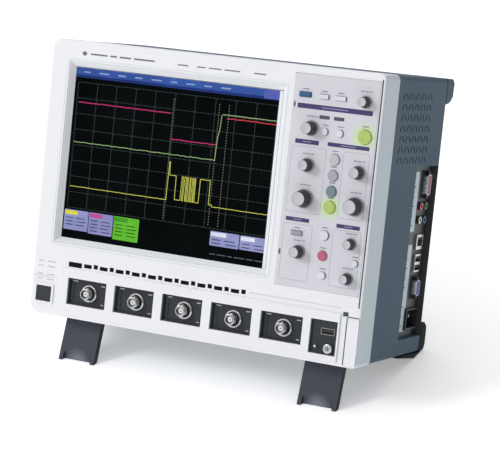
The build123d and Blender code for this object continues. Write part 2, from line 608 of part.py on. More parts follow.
def fan_housing():
    """The fan's square frame, with a motor mount on four struts."""
    front, back = FAN_BACK_Y - FAN_T, FAN_BACK_Y
    body = plate_y(around(FAN_X, FAN_SIZE), around(FAN_Z, FAN_SIZE), (front, back), 4.0)
    body -= disc_y(FAN_X, FAN_Z, FAN_TIP_R + 1.5, front - 1, back + 1)
    body += disc_y(FAN_X, FAN_Z, FAN_HUB_R, back - 4, back)
    for angle in (45, 135, 225, 315):
        strut = Box(FAN_TIP_R + 3 - 12, 3.0, 3.4)
        place = Pos(FAN_X, back - 1.5, FAN_Z) * Rot(0, angle, 0) * Pos((FAN_TIP_R + 15) / 2, 0, 0)
        body += place * strut
    return body - disc_y(FAN_X, FAN_Z, FAN_PIN_R + SHAFT_CLEARANCE, back - 5, back - 1)


def fan_rotor():
    """A hub with pitched blades, on the pin that runs in the motor mount."""
    front, back = FAN_BACK_Y - FAN_T + 2, FAN_BACK_Y - 5
    rotor = disc_y(FAN_X, FAN_Z, FAN_HUB_R, front, back) + disc_y(FAN_X, FAN_Z, FAN_PIN_R, back - 1, back + 3.4)
    for i in range(FAN_BLADES):
        blade = Box(FAN_TIP_R - FAN_HUB_R + 1, 1.8, 19)
        turn = Pos(FAN_X, (front + back) / 2, FAN_Z) * Rot(0, 360 / FAN_BLADES * i, 0)
        blade = turn * Pos((FAN_TIP_R + FAN_HUB_R - 1) / 2, 0, 0) * Rot(38, 0, 0) * blade
        rotor += blade & disc_y(FAN_X, FAN_Z, FAN_TIP_R, front, back)
    return rotor


# ---------------------------------------------------------------- assembly
def parts():
    """Every node, by name, in the device frame."""
    made = {
        "front_bezel": front_bezel(), "input_panel": input_panel(), "corner_cover": corner_cover(),
        "indicator_windows": indicator_windows(), "screen_frame": screen_frame(), "touch_glass": touch_glass(),
        "lcd_panel": lcd_panel(), "control_panel": control_panel(),
        "encoder_bodies": encoder_bodies(), "control_board": control_board(), "power_button": power_button(),
        "input_bays": input_bays(), "bnc_jacks": bnc_jacks(), "bnc_contacts": bnc_contacts(),
        "port_panel": port_panel(), "front_usb_port": front_usb_port(),
        "calibrator_terminal": calibrator_terminal(), "rear_cover": rear_cover(), "cover_screws": cover_screws(),
        "rear_bumpers": rear_bumpers(), "rear_feet": rear_feet(), "leg_left": leg(-1), "leg_right": leg(1),
        "leg_pins": leg_pins(), "io_panel": io_panel(), "io_connectors": io_connectors(),
        "io_sockets": io_sockets(), "mains_inlet": mains_inlet(), "chassis_tray": chassis_tray(),
        "acquisition_board": acquisition_board(), "main_board": main_board(), "heat_sink": heat_sink(),
        "power_supply": power_supply(), "disk_drive": disk_drive(), "fan_housing": fan_housing(),
        "fan_rotor": fan_rotor(),
    }
    made.update({name: knob(*size) for name, size in KNOBS.items()})
    made.update({name: button(*size) for name, size in BUTTONS.items()})
    return made


LEAN = Rot(-TILT, 0, 0) * Pos(0, -TOE_Y, -TOE_Z)   # puts the toes' front edge on the row's X axis


def main():
    made = {name: LEAN * shape for name, shape in parts().items()}
    boxes = [shape.bounding_box() for shape in made.values()]
    low = min(box.min.Y for box in boxes)
    high = max(box.max.Y for box in boxes)
    os.makedirs("parts", exist_ok=True)
    centre = Pos(0, -(low + high) / 2, 0)
    for name, shape in made.items():
        export_step(centre * shape, os.path.join("parts", name + ".step"))
    print("nodes", len(made), "shifted by", round(-(low + high) / 2, 4),
          "lowest", round(min(box.min.Z for box in boxes), 4))


if __name__ == "__main__":
    main()
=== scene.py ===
"""The looks of a bench logic analyzer: materials, fine detail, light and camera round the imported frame.

Detail is laid out in the device frame, in millimetres: X to the right, Y back from the front face, and Z up
from the underside. DEVICE leans that frame back with the case and turns it into the row's metres.
"""

import json
import math
import random

import bmesh
import bpy
from mathutils import Matrix, Quaternion, Vector


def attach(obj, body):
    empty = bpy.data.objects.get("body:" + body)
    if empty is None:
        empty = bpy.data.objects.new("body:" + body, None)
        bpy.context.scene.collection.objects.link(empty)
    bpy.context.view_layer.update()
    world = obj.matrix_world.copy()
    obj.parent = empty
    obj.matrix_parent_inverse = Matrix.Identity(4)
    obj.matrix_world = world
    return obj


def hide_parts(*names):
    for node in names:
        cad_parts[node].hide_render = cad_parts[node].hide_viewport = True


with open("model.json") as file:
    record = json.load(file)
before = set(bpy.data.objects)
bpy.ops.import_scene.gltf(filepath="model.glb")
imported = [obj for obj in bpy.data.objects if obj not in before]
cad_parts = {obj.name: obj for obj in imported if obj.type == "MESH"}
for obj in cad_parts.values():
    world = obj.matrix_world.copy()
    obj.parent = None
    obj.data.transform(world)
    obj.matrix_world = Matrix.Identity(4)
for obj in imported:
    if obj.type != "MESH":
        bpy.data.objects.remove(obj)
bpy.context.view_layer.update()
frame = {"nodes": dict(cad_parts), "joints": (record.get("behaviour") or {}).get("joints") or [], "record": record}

X, Y, Z = Vector((1, 0, 0)), Vector((0, 1, 0)), Vector((0, 0, 1))

# Camera, in metres and degrees
AIM = Vector((0.0059, 0.0031, 0.1046))
AZIMUTH, ELEVATION, ROLL = 27.754, 21.891, -2.405
DISTANCE, LENS = 1.935, 146.3

# The left leg's hinge in the device frame, which ties that frame to the row's
LEG_PIVOT = Vector((-126.35, 36.5, 4.0))


def camera():
    """The camera, aimed and rolled a little."""
    azimuth, elevation = math.radians(AZIMUTH), math.radians(ELEVATION)
    back = Vector((math.sin(azimuth) * math.cos(elevation), -math.cos(azimuth) * math.cos(elevation),
                   math.sin(elevation)))
    eye = bpy.data.objects.new("camera", bpy.data.cameras.new("camera"))
    eye.data.lens = LENS
    eye.location = AIM + back * DISTANCE
    eye.rotation_mode = "QUATERNION"
    eye.rotation_quaternion = (-back).to_track_quat("-Z", "Y") @ Quaternion(Z, math.radians(ROLL))
    bpy.context.scene.collection.objects.link(eye)
    bpy.context.scene.camera = eye


def device_frame():
    """Turns device millimetres into row metres."""
    joints = {joint["name"]: joint for joint in frame["joints"]}
    inward = Vector(joints["button_run_press"]["axis"])
    turn = Matrix.Rotation(math.atan2(inward.z, inward.y), 4, "X") @ Matrix.Scale(0.001, 4)
    return Matrix.Translation(Vector(joints["leg_left_fold"]["pos_m"]) - turn @ LEG_PIVOT) @ turn


camera()
DEVICE = device_frame()


def device_box(node):
    """Lowest and highest corner of a CAD node in the device frame, in millimetres."""
    back = DEVICE.inverted()
    points = [back @ vertex.co for vertex in frame["nodes"][node].data.vertices]
    return (Vector(min(p[i] for p in points) for i in range(3)),
            Vector(max(p[i] for p in points) for i in range(3)))


# -------- materials
def srgb(red, green, blue):
    """A colour from screen values of 0 to 255."""
    def linear(value):
        value /= 255
        return value / 12.92 if value <= 0.04045 else ((value + 0.055) / 1.055) ** 2.4
    return (linear(red), linear(green), linear(blue), 1.0)


def shade(colour, factor):
    return tuple(min(channel * factor, 1.0) for channel in colour[:3]) + (1.0,)


class Nodes:
    """Short calls that add nodes to a tree."""

    def __init__(self, tree):
        self.tree = tree

    def add(self, kind, inputs=(), **settings):
        node = self.tree.nodes.new(kind)
        for key, value in settings.items():
            setattr(node, key, value)
        for key, value in dict(inputs).items():
            self.feed(node.inputs[key], value)
        return node

    def feed(self, socket, value):
        if isinstance(value, bpy.types.NodeSocket):
            self.tree.links.new(value, socket)
        else:
            socket.default_value = value

    def remap(self, value, low, high, to_low=0.0, to_high=1.0):
        inputs = {"Value": value, "From Min": low, "From Max": high, "To Min": to_low, "To Max": to_high}
        return self.add("ShaderNodeMapRange", inputs).outputs[0]

    def mix(self, share, first, second):
        """A share of the second colour over the first."""
        return self.add("ShaderNodeMix", {0: share, 6: first, 7: second}, data_type="RGBA").outputs[2]

    def maths(self, operation, *values):
        return self.add("ShaderNodeMath", enumerate(values), operation=operation).outputs[0]


class Surface(Nodes):
    """A material under construction: a Principled shader, and calls that set nodes in front of it."""

    def __init__(self, name, **sockets):
        self.material = bpy.data.materials.new(name)
        self.material.use_nodes = True
        super().__init__(self.material.node_tree)
        self.shader = self.tree.nodes["Principled BSDF"]
        self.place = self.add("ShaderNodeTexCoord").outputs["Object"]
        for key, value in sockets.items():
            self.feed(self.shader.inputs[key.replace("_", " ").title().replace("Ior", "IOR")], value)

    def stretched(self, x, y, z):
        """The object's coordinates, scaled along each axis."""
        return self.add("ShaderNodeMapping", {"Vector": self.place, "Scale": (x, y, z)}).outputs[0]

    def noise(self, size, detail=2.0, place=None):
        """Noise with features of about size millimetres."""
        inputs = {"Vector": place or self.place, "Scale": 1000.0 / size, "Detail": detail}
        return self.add("ShaderNodeTexNoise", inputs).outputs[0]

    def edges(self, radius):
        """1 along sharp edges and 0 on flat ground, within radius millimetres."""
        bevel = self.add("ShaderNodeBevel", {"Radius": radius / 1000}, samples=4)
        normal = self.add("ShaderNodeNewGeometry").outputs["Normal"]
        dot = self.add("ShaderNodeVectorMath", {0: bevel.outputs[0], 1: normal}, operation="DOT_PRODUCT")
        return self.remap(dot.outputs["Value"], 0.99, 0.80)

    def near(self, point, inner, outer):
        """1 within inner millimetres of a device point, 0 beyond outer."""
        distance = self.add("ShaderNodeVectorMath", {0: self.place, 1: DEVICE @ Vector(point)},
                            operation="DISTANCE").outputs["Value"]
        return self.remap(distance, inner / 1000, outer / 1000, 1.0, 0.0)

    def deep(self, low, high):
        """0 at one distance behind the front face and 1 at another, in millimetres."""
        inward = (DEVICE.to_3x3() @ Y).normalized()
        along = self.add("ShaderNodeVectorMath", {0: self.place, 1: inward},
                         operation="DOT_PRODUCT").outputs["Value"]
        face = DEVICE.translation.dot(inward)
        return self.remap(along, face + low / 1000, face + high / 1000)

    def colour(self, value):
        self.feed(self.shader.inputs["Base Color"], value)

    def tint(self, share, colour):
        """Lays another colour over the base colour, by share."""
        self.colour(self.mix(share, self.shader.inputs["Base Color"].links[0].from_socket, colour))

    def roughness(self, value):
        self.feed(self.shader.inputs["Roughness"], value)

    def bump(self, height, depth):
        """Relief of depth millimetres."""
        node = self.add("ShaderNodeBump", {"Height": height, "Distance": depth / 1000, "Strength": 1.0})
        self.feed(self.shader.inputs["Normal"], node.outputs[0])


def mottled(surface, colour, variation, size=45.0):
    """A colour that drifts a little, and the noise that it drifts with."""
    drift = surface.remap(surface.noise(size, 4.0), 0.3, 0.7)
    return surface.mix(drift, shade(colour, 1 - variation), shade(colour, 1 + variation)), drift


def moulded(name, colour, roughness, grain=0.5, depth=0.012, variation=0.03, rub=1.12, wear=0.5, **sockets):
    """Moulded plastic with a fine eroded grain, faint uneven colour and edges rubbed to another shade."""
    surface = Surface(name, **sockets)
    body, drift = mottled(surface, colour, variation)
    worn = surface.maths("MULTIPLY", surface.edges(0.7), wear)
    surface.colour(surface.mix(worn, body, shade(colour, rub)))
    surface.roughness(surface.remap(drift, 0.0, 1.0, roughness - 0.05, roughness + 0.05))
    surface.bump(surface.noise(grain, 3.0), depth)
    return surface


def shade_right_faces(surface, right_shade):
    """Paints shade on a surface's right-hand faces: they take a darker tone, as where less light falls."""
    normal = surface.add("ShaderNodeNewGeometry").outputs["Normal"]
    turned = surface.add("ShaderNodeSeparateXYZ", {0: normal}).outputs["X"]
    # painted shade: the further a face turns to the right, the more of the darker tone it takes
    surface.tint(surface.remap(turned, 0.3, 0.95), right_shade)
    return surface


def leg_plastic(name):
    """The legs' plastic, paler near the toes, with painted shade on the right-hand faces."""
    surface = moulded(name, srgb(62, 65, 75), 0.55, variation=0.06, rub=1.4, specular_ior_level=0.2)
    for leg in ("leg_left", "leg_right"):
        low, high = device_box(leg)
        toe = surface.near(((low.x + high.x) / 2, low.y + 2.0, low.z), 5.0, 14.0)
        surface.tint(surface.maths("MULTIPLY", toe, 0.6), srgb(128, 138, 146))
    # painted shade: the legs' right-hand faces take a darker tone
    return shade_right_faces(surface, srgb(36, 37, 42))


def plated(name, colour, roughness, streak=(30, 30, 900), depth=0.004, variation=0.10):
    """Plated or bare metal with drawn streaks and faint stains."""
    surface = Surface(name, metallic=1.0)
    body, _ = mottled(surface, colour, variation, 18.0)
    streaks = surface.noise(1000.0, 3.0, surface.stretched(*streak))
    surface.colour(surface.mix(surface.remap(streaks, 0.35, 0.65, 0.0, 0.5), body, shade(colour, 0.82)))
    surface.roughness(surface.remap(streaks, 0.3, 0.7, roughness - 0.08, roughness + 0.10))
    surface.bump(streaks, depth)
    return surface


def circuit_board(name):
    """Solder mask over copper tracks, with tinned pads."""
    surface = Surface(name, coat_weight=0.3, coat_roughness=0.2)
    mask, drift = mottled(surface, srgb(22, 92, 52), 0.12, 30.0)
    tracks = surface.add("ShaderNodeTexBrick", {"Vector": surface.place, "Scale": 90.0, "Mortar Size": 0.012,
                                                "Color1": (0, 0, 0, 1), "Color2": (0.1, 0.1, 0.1, 1),
                                                "Mortar": (1, 1, 1, 1)}).outputs[1]
    pads = surface.add("ShaderNodeTexVoronoi", {"Vector": surface.place, "Scale": 320.0}).outputs["Distance"]
    tracked = surface.mix(surface.maths("MULTIPLY", tracks, 0.5), mask, srgb(60, 140, 88))
    surface.colour(surface.mix(surface.remap(pads, 0.14, 0.11), tracked, srgb(196, 196, 184)))
    surface.roughness(surface.remap(drift, 0.0, 1.0, 0.35, 0.5))
    surface.bump(tracks, 0.05)
    return surface


def knob_plastic(name):
    """The knobs' dark plastic, which is paler on the skirt next to the fascia."""
    surface = moulded(name, srgb(60, 61, 66), 0.5, grain=0.35, depth=0.02, variation=0.06, rub=1.6,
                      specular_ior_level=0.3)
    surface.tint(surface.deep(-2.75, -2.55), srgb(138, 138, 146))
    return surface


def clear_glass(name):
    """Anti-glare touch glass that throws back next to nothing, with faint smears."""
    surface = Surface(name, transmission_weight=1.0, ior=1.001)
    smears = surface.noise(25.0, 4.0, surface.stretched(1.0, 1.0, 2.5))
    surface.colour(surface.mix(surface.remap(smears, 0.3, 0.75), srgb(255, 255, 255), srgb(238, 242, 243)))
    surface.roughness(surface.remap(smears, 0.3, 0.75, 0.0, 0.03))
    return surface


def lit_plastic(name, colour, glow, strength):
    """A translucent cap lit from behind, a little uneven."""
    surface = Surface(name, roughness=0.3, coat_weight=0.3, coat_roughness=0.15, emission_strength=strength)
    body, drift = mottled(surface, colour, 0.08, 6.0)
    surface.colour(body)
    surface.feed(surface.shader.inputs["Emission Color"],
                 surface.mix(drift, shade(glow, 0.82), shade(glow, 1.1)))
    surface.bump(surface.noise(0.5, 2.0), 0.01)
    return surface


def screen_ink(name, colour, strength=1.0, variation=0.12, size=3.0):
    """A lit area of the display: its light is a little uneven, as behind a pixel grid."""
    surface = Surface(name, roughness=0.6, base_color=(0.0, 0.0, 0.0, 1.0), specular_ior_level=0.0,
                      emission_strength=strength)
    glow, _ = mottled(surface, colour, variation, size)
    surface.feed(surface.shader.inputs["Emission Color"], glow)
    return surface


def print_ink(name, colour, roughness=0.55):
    """Screen-printed ink, slightly patchy."""
    surface = Surface(name)
    body, drift = mottled(surface, colour, 0.07, 4.0)
    surface.colour(body)
    surface.roughness(surface.remap(drift, 0.0, 1.0, roughness - 0.08, roughness + 0.08))
    surface.bump(surface.noise(0.35, 2.0), 0.006)
    return surface


def fascia_plastic(name, lit_nodes):
    """The fascia's matte plastic, tinted by the light that spills from the lit buttons."""
    surface = moulded(name, srgb(204, 203, 210), 0.55, grain=0.35, depth=0.008, rub=1.05)
    for node in lit_nodes:
        low, high = device_box(node)
        centre = ((low.x + high.x) / 2, low.y, (low.z + high.z) / 2)
        spill = surface.near(centre, (high.x - low.x) / 2, high.x - low.x)
        surface.tint(surface.maths("MULTIPLY", spill, 0.75), srgb(190, 222, 150))
    return surface


def node_surfaces():
    """One material per slot of the record."""
    white = moulded("bezel_white", srgb(228, 228, 231), 0.55, variation=0.012, rub=0.93, wear=0.35,
                    specular_ior_level=0.3)
    cap = moulded("button_white", srgb(212, 213, 220), 0.35, depth=0.005, rub=1.05)
    return {
        # painted shade: the bezel's right-hand faces take a darker blue-grey
        "bezel_white": shade_right_faces(white, srgb(194, 206, 212)),
        "frame_grey": moulded("frame_grey", srgb(224, 227, 230), 0.5, grain=0.4),
        "fascia_lavender": fascia_plastic("fascia_lavender", ("button_run", "button_channel_4")),
        "window_black": moulded("window_black", srgb(16, 17, 22), 0.35, depth=0.002, specular_ior_level=0.06),
        "glass": clear_glass("touch_glass"),
        "display_black": moulded("display_black", srgb(10, 12, 16), 0.5, grain=0.3, depth=0.002, rub=1.0,
                                 specular_ior_level=0.05),
        "module_grey": moulded("module_grey", srgb(46, 49, 55), 0.5, variation=0.08, rub=1.6,
                               specular_ior_level=0.25),
        "nickel": plated("nickel", srgb(222, 223, 224), 0.24),
        "insulator_white": moulded("insulator_white", srgb(228, 229, 230), 0.4, depth=0.004),
        "steel": plated("zinc_steel", srgb(186, 188, 190), 0.34, streak=(12, 12, 500)),
        "steel_box": plated("sheet_steel", srgb(170, 172, 172), 0.42, streak=(8, 300, 8)),
        "board_green": circuit_board("circuit_board"),
        "cover_slate": moulded("cover_slate", srgb(70, 90, 106), 0.6, grain=0.6, depth=0.03, variation=0.05,
                               rub=1.3, specular_ior_level=0.2),
        "leg_slate": leg_plastic("leg_slate"),
        "foot_rubber": moulded("foot_rubber", srgb(26, 27, 30), 0.75, grain=0.9, depth=0.04, rub=1.6,
                               specular_ior_level=0.2),
        "connector_black": moulded("connector_black", srgb(34, 34, 38), 0.45, rub=1.6),
        "aluminium": plated("bare_aluminium", srgb(200, 201, 204), 0.38, streak=(300, 8, 8)),
        "knob_grey": knob_plastic("knob_grey"),
        # painted shade: the buttons' right-hand faces take a darker grey
        "button_white": shade_right_faces(cap, srgb(126, 128, 136)),
        "button_blue": moulded("button_blue", srgb(34, 84, 120), 0.3, depth=0.005, rub=1.4),
        "button_lit_green": lit_plastic("lit_green", srgb(160, 178, 96), srgb(165, 190, 92), 0.16),
        "button_lit_red": lit_plastic("lit_red", srgb(172, 84, 112), srgb(190, 78, 110), 0.12),
    }


def own_finishes():
    """Nodes whose finish differs from the rest of their slot."""
    cap = {"depth": 0.005, "rub": 1.2}
    return {
        "button_channel_1": moulded("cap_grey", srgb(184, 185, 190), 0.35, **cap),
        "button_channel_2": moulded("cap_violet", srgb(164, 160, 176), 0.35, **cap),
        "button_channel_3": moulded("cap_slate", srgb(112, 130, 140), 0.35, **cap),
        "button_cursor_type": moulded("cap_dim", srgb(150, 150, 158), 0.35, **cap),
        "io_panel": plated("recess_plate", srgb(104, 108, 106), 0.5, streak=(12, 400, 12)),
    }


def dress_nodes(surfaces):
    """Gives each CAD node the material of its record slot, or its own."""
    own = own_finishes()
    for part in frame["record"]["subparts"]:
        surface = own.get(part["node"], surfaces[part["material_slot"]])
        for place in frame["nodes"][part["node"]].material_slots:
            place.material = surface.material


# -------- meshes
def face_place(origin, right, out):
    """A surface at origin: its own X runs to the right, Y up and Z out of it."""
    return Matrix.Translation(origin) @ Matrix((right, out.cross(right), out)).transposed().to_4x4()


def front(depth):
    """The plane at this depth that faces the viewer: points on it are (x, z), and heights stand out of it."""
    return face_place(Y * depth, X, -Y)


def side(x):
    """The plane at this x that faces right: points on it are (y, z)."""
    return face_place(X * x, Y, X)


def rear(depth):
    """The plane at this depth that faces back: points on it are (-x, z)."""
    return face_place(Y * depth, -X, Y)


def bridge(bm, lower, upper):
    """Walls between two rings, either of which may be a single point."""
    count = max(len(lower), len(upper))
    for i in range(count):
        j = (i + 1) % count
        if len(lower) == 1:
            bm.faces.new((lower[0], upper[j], upper[i]))
        elif len(upper) == 1:
            bm.faces.new((lower[i], lower[j], upper[0]))
        else:
            bm.faces.new((lower[i], lower[j], upper[j], upper[i]))


def mitre(before, after, least):
    """The step from a path's corner to that of a path 1 to its left, at most 1 / least long."""
    across = Vector((-before.y - after.y, before.x + after.x)).normalized()
    return across / max(across.dot(Vector((-before.y, before.x))), least)


def inset(outline, amount):
    """The outline, counter-clockwise, drawn in by an amount."""
    points = [Vector(point) for point in outline]
    drawn = []
    for i, point in enumerate(points):
        before = (point - points[i - 1]).normalized()
        after = (points[(i + 1) % len(points)] - point).normalized()
        drawn.append(point + mitre(before, after, 0.3) * amount)
    return drawn


def rounded(u, v, radius, steps=4):
    """A rectangle from pairs of low and high values, with round corners."""
    points = []
    for corner, (cu, cv) in enumerate(((u[1], v[1]), (u[0], v[1]), (u[0], v[0]), (u[1], v[0]))):
        centre = (cu - math.copysign(radius, cu - sum(u) / 2), cv - math.copysign(radius, cv - sum(v) / 2))
        for i in range(steps + 1):
            angle = math.pi / 2 * (corner + i / steps)
            points.append((centre[0] + radius * math.cos(angle), centre[1] + radius * math.sin(angle)))
    return points


def oval(u, v, width, height, steps=24):
    angles = [2 * math.pi * i / steps for i in range(steps)]
    return [(u + width / 2 * math.cos(a), v + height / 2 * math.sin(a)) for a in angles]


def around(centre, size):
    return (centre - size / 2, centre + size / 2)


def plate(bm, outline, low, high, place, soften=0.0):
    """A closed plate between two heights, its outer edge chamfered by soften."""
    levels = [(outline, low), (outline, high - soften)]
    if soften:
        levels.append((inset(outline, soften), high))
    rings = [[bm.verts.new(place @ Vector((u, v, h))) for u, v in ring] for ring, h in levels]
    for lower, upper in zip(rings, rings[1:]):
        bridge(bm, lower, upper)
    bm.faces.new(rings[0][::-1])
    bm.faces.new(rings[-1])


def line(bm, points, width, low, high, place, closed=False):
    """A flat line of even width through the points, with mitred corners."""
    path = [Vector(point) for point in points]
    ends = path[1:] + path[:1] if closed else path[1:]
    runs = [(b - a).normalized() for a, b in zip(path, ends)]
    rows = []
    for i, point in enumerate(path):
        before = runs[i - 1] if closed or i else runs[0]
        after = runs[i] if i < len(runs) else runs[-1]
        reach = mitre(before, after, 0.4) * width / 2
        corners = ((point + reach, low), (point - reach, low), (point - reach, high), (point + reach, high))
        rows.append([bm.verts.new(place @ Vector((p.x, p.y, h))) for p, h in corners])
    for lower, upper in zip(rows, rows[1:] + (rows[:1] if closed else [])):
        bridge(bm, lower, upper)
    if not closed:
        bm.faces.new(rows[0][::-1])
        bm.faces.new(rows[-1])


def lathe(bm, profile, place, segments=32, flutes=0, depth=0.0, closed=False):
    """Turns a profile of (radius, height) about the surface's normal. A third entry marks a fluted point."""
    rings = []
    for radius, height, *cut in profile:
        if radius == 0:
            rings.append([bm.verts.new(place @ Vector((0, 0, height)))])
            continue
        ring = []
        for i in range(segments):
            angle = 2 * math.pi * i / segments
            reach = radius - (depth * (0.5 - 0.5 * math.cos(flutes * angle)) ** 2 if cut else 0.0)
            spot = Vector((reach * math.cos(angle), reach * math.sin(angle), height))
            ring.append(bm.verts.new(place @ spot))
        rings.append(ring)
    for lower, upper in zip(rings, rings[1:] + (rings[:1] if closed else [])):
        bridge(bm, lower, upper)


def piece(name, bm, surface, body="case", smooth=35):
    """Makes an object from a mesh laid out in the device frame, and lets it ride on a body."""
    bmesh.ops.recalc_face_normals(bm, faces=bm.faces)
    bm.transform(DEVICE)
    mesh = bpy.data.meshes.new(name)
    bm.to_mesh(mesh)
    bm.free()
    mesh.materials.append(surface.material)
    mesh.shade_smooth()
    mesh.set_sharp_from_angle(angle=math.radians(smooth))
    thing = bpy.data.objects.new(name, mesh)
    bpy.context.scene.collection.objects.link(thing)
    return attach(thing, body)


def shifted(place, u, v, height=0.0):
    """A surface moved along itself."""
    return place @ Matrix.Translation((u, v, height))


PRINT_T = 0.06  # thickness of a layer of print
PRINT_H = (0.0, PRINT_T)


def dash(bm, u, v, place, heights=PRINT_H, radius=0.3, steps=2):
    """A flat dash between pairs of low and high values on a surface."""
    plate(bm, rounded(u, v, radius, steps), *heights, place)


def printed(name, bm, slot, ink, colour, *finish):
    """Makes a piece of print."""
    piece(name, bm, print_ink(ink, colour, *finish))


def dash_row(bm, start, lengths, gap, v, *shape):
    """A row of dashes of these lengths, in place of words."""
    for length in lengths:
        dash(bm, (start, start + length), v, *shape)
        start += length + gap


# -------- knobs
KNOBS = sorted(name for name in frame["nodes"] if name.startswith("knob_"))
# The shaft, and the hollow in the knob's back over the encoder's bush
SHAFT_R, SOCKET_R, SOCKET_TOP = 3.0, 4.75, 1.9
FLUTE_DEPTH = 0.055  # of the knob's radius


def knob(name, plastic, pale):
    """A fluted, tapered grip on a plain skirt and its shaft, and a lighter dished cap in its front."""
    low, high = device_box(name)
    radius, top, back = (high.x - low.x) / 2, -low.y, -high.y
    middle = (low + high) / 2
    place = shifted(front(0.0), middle.x, middle.z)
    flutes = 20 if radius > 7 else 16
    profile = [
        (0, top - 1.0), (0.695 * radius, top - 0.95), (0.71 * radius, top - 0.35),
        (0.73 * radius, top - 0.45), (0.745 * radius, top - 1.0, True), (0.79 * radius, top * 0.72, True),
        (0.83 * radius, top * 0.50, True), (0.865 * radius, top * 0.32, True), (0.885 * radius, 2.9, True),
        (0.90 * radius, 2.6), (0.985 * radius, 2.4), (radius, 2.1), (radius, 1.0), (0.985 * radius, 0.8),
        (SOCKET_R, 0.8), (SOCKET_R, SOCKET_TOP), (SHAFT_R, SOCKET_TOP), (SHAFT_R, back + 0.4),
        (SHAFT_R - 0.4, back), (0, back),
    ]
    bm = bmesh.new()
    lathe(bm, profile, place, flutes * 6, flutes, FLUTE_DEPTH * radius)
    grip = piece(name + "_grip", bm, plastic, name, 40)
    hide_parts(name)
    bm = bmesh.new()
    lathe(bm, [(0, top - 0.55), (0.32 * radius, top - 0.46), (0.56 * radius, top - 0.20),
               (0.65 * radius, top), (0.685 * radius, top - 0.08), (0.70 * radius, top - 0.3),
               (0.68 * radius, top - 0.93), (0, top - 0.93)], place, 48)
    piece(name + "_face", bm, pale, name)


def knobs(surfaces):
    pale = moulded("knob_face", srgb(186, 187, 193), 0.5, grain=0.3, depth=0.004, specular_ior_level=0.3)
    for name in KNOBS:
        knob(name, surfaces["knob_grey"], pale)


# -------- the picture on the display
GLASS_LOW, GLASS_HIGH = device_box("touch_glass")
GLASS_LIP = 3.0  # of the glass hidden behind the frame on each side
SCREEN_X = (GLASS_LOW.x + GLASS_LIP, GLASS_HIGH.x - GLASS_LIP)
SCREEN_Z = (GLASS_LOW.z + GLASS_LIP, GLASS_HIGH.z - GLASS_LIP)
AIR_GAP = 0.98  # between the glass and the display's lit face
DISPLAY_Y = GLASS_HIGH.y + AIR_GAP
PICTURE_X, PICTURE_Z = tuple(x - 2.1 for x in SCREEN_X), tuple(z - 0.5 for z in SCREEN_Z)
MENU_H = 9.3
DIVISIONS_X, DIVISIONS_Z = 10, 8
DASHES = 5  # in each division of a grid line
GRID_MARGIN = 4.0
DIVISION_X, DIVISION_Z = 20.8, 14.75
GRID_TOP = PICTURE_Z[1] - MENU_H - 4.4
# Bottom and top of each lit layer over the display's face
FIELD_H, BAR_H, GRID_H, EDGE_H = (0.004, 0.015), (0.02, 0.10), (0.06, 0.12), (0.10, 0.13)
STATUS_H, WORDS_H, CURSOR_H, TAB_H = (0.10, 0.15), (0.11, 0.17), (0.12, 0.18), (0.13, 0.16)
TRACE_H, BOX_H, ROWS_H, HEADER_H = (0.14, 0.22), (0.10, 0.18), (0.18, 0.23), (0.18, 0.24)


def layer(name, bm, ink, colour, *light):
    """Makes a lit layer of the picture."""
    piece(name, bm, screen_ink(ink, colour, *light))


def grid_point(u, v):
    """A point u divisions from the grid's left edge and v divisions up from its bottom."""
    return (PICTURE_X[0] + GRID_MARGIN + u * DIVISION_X, GRID_TOP - (DIVISIONS_Z - v) * DIVISION_Z)


def noisy(start, end, level, spread):
    """Points along a level stretch of trace, with a little noise on it."""
    count = max(2, int((end - start) * 14))
    return [grid_point(start + (end - start) * i / count, level + random.uniform(-spread, spread))
            for i in range(count + 1)]


def burst_points():
    """The yellow trace: a base line, a sync spike, a burst of pulses and the base line again."""
    high, low = 2.92, 1.44
    points = noisy(0.04, 5.00, 1.36, 0.012)
    points += [grid_point(5.02, 3.75), grid_point(5.06, 3.75), grid_point(5.08, high)]
    level, u = high, 5.08
    for width in (0.33, 0.29, 0.07, 0.06, 0.09, 0.05, 0.06, 0.08, 0.05, 0.07, 0.06, 0.05, 0.05, 0.22, 0.5):
        points.append(grid_point(u + width, level))
        level = low if level == high else high
        points.append(grid_point(u + width + 0.012, level))
        u += width
    points.append(grid_point(u + 0.17, level))
    return points + noisy(u + 0.19, 10.15, 1.33, 0.012)


def traces():
    """Names, colours, widths and points of the signal traces, in divisions."""
    rise = [grid_point(7.21, 4.2), grid_point(7.25, 5.6), grid_point(7.32, 6.1), grid_point(7.36, 7.02)]
    return [
        ("trace_pink_left", srgb(182, 52, 108), 0.9, noisy(0.10, 4.86, 6.74, 0.02)),
        ("trace_pink_mid", srgb(182, 56, 104), 0.9, noisy(4.92, 7.18, 5.15, 0.02)),
        ("trace_orange", srgb(196, 66, 72), 0.9, noisy(7.62, 10.17, 6.85, 0.02)),
        ("trace_green", srgb(150, 180, 122), 0.6, noisy(0.02, 7.21, 4.2, 0.02) + rise),
        ("trace_green_high", srgb(160, 182, 130), 0.6, noisy(7.40, 10.17, 7.06, 0.015)),
        ("trace_yellow", srgb(204, 204, 92), 0.55, burst_points()),
    ]


def screen_grid(place):
    """The graticule: lines of short dashes."""
    bm = bmesh.new()
    across = [(k + 0.5) / DASHES for k in range(DIVISIONS_X * DASHES)]
    up = [(k + 0.5) / DASHES for k in range(DIVISIONS_Z * DASHES)]
    spots = [(i, v, 0.5, 2.2) for i in range(DIVISIONS_X + 1) for v in up]
    spots += [(u, j, 3.2, 0.4) for j in range(DIVISIONS_Z + 1) for u in across]
    for u, v, wide, tall in spots:
        x, z = grid_point(u, v)
        dash(bm, around(x, wide), around(z, tall), place, GRID_H, 0.1, 1)
    layer("screen_grid", bm, "grid_grey", srgb(88, 100, 96), 0.6)


